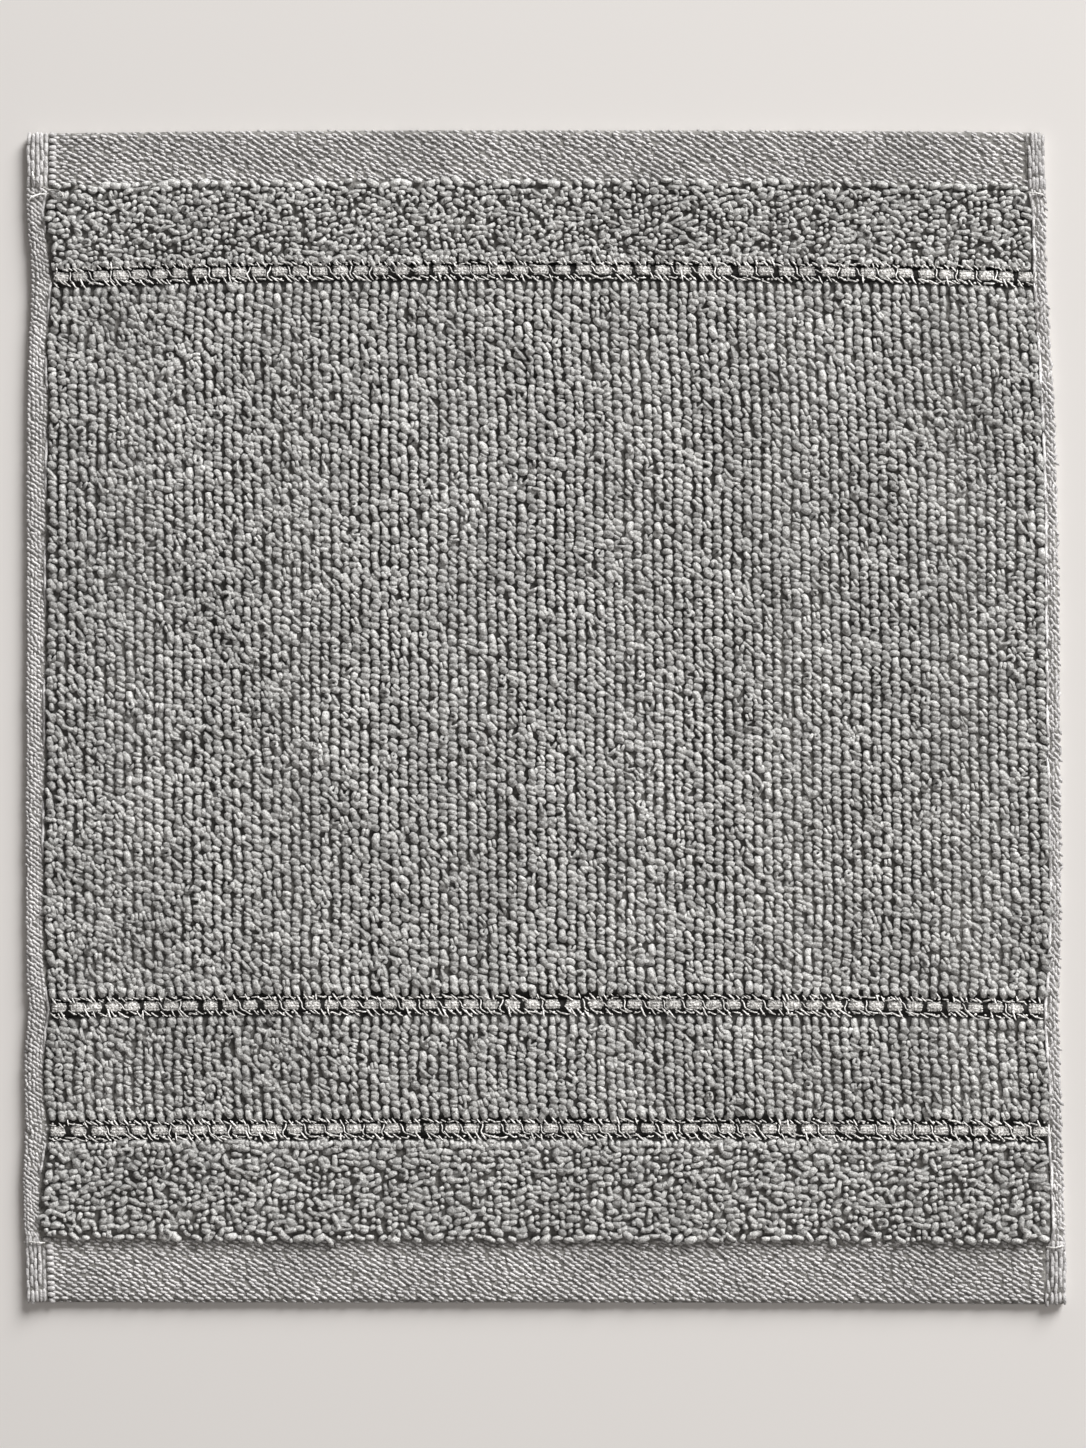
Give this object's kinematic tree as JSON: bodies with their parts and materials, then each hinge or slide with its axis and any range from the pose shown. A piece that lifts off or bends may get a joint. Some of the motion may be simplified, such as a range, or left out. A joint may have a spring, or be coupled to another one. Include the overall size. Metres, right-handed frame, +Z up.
{
  "type": "washcloth",
  "caption": "Flat hemmed terry washcloth in grey, with ribbed loop pile, plain woven end hems and narrow ribbon border lines.",
  "frame": {"origin": "on the surface that the cloth lies on, under the middle of its bounding box", "axes": "+Z up out of the surface, +Y along the cloth towards the end with one border line, +X across the cloth to the right"},
  "size_m": [0.3023, 0.341, 0.006],
  "materials": {
    "terry": "matte grey cotton terry with looped pile and plain woven hems"
  },
  "bodies": {
    "root": {"washcloth": "terry"}
  },
  "joints": []
}
